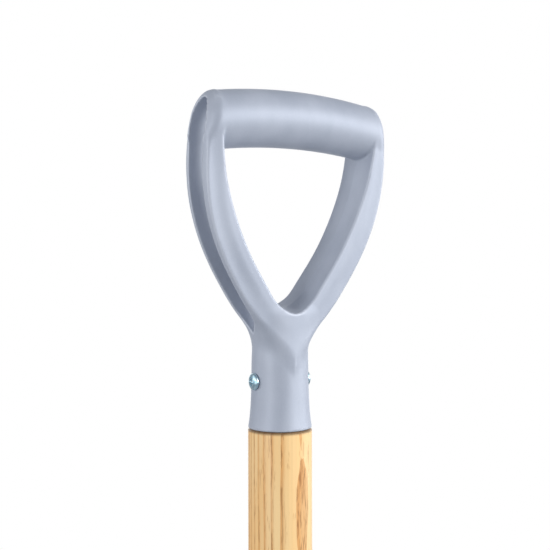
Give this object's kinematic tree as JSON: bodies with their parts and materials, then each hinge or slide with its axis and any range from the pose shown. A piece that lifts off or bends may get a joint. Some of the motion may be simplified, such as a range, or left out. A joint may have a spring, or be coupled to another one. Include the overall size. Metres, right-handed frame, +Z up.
{
  "type": "garden spade",
  "caption": "Digging spade with a pressed steel blade, welded foot treads, tapered socket, round ash shaft and a moulded D-grip canted forward.",
  "frame": {"origin": "on the shaft's axis, at the height of the blade's tip", "axes": "+Z up the shaft towards the grip, +X along the grip's cross bar to the right when the digging face is seen, -Y the way the digging face looks"},
  "size_m": [0.187, 0.0499, 1.0104],
  "materials": {
    "grip_plastic": "silver blue-grey moulded plastic with a fine metallic flake, satin",
    "zinc_screw": "bright zinc plate",
    "ash_wood": "clear-lacquered ash, satin",
    "painted_steel": "silver-grey powder coat, fine hammered texture",
    "rivet_steel": "plain steel rivet"
  },
  "bodies": {
    "root": {"grip_moulding": "grip_plastic", "grip_screw_left": "zinc_screw", "grip_screw_right": "zinc_screw", "shaft": "ash_wood", "socket": "painted_steel", "socket_rivet_upper": "rivet_steel", "socket_rivet_lower": "rivet_steel", "blade": "painted_steel", "tread_left": "painted_steel", "tread_right": "painted_steel", "tread_weld_left": "painted_steel", "tread_weld_right": "painted_steel", "socket_weld_left": "painted_steel", "socket_weld_right": "painted_steel"}
  },
  "joints": []
}
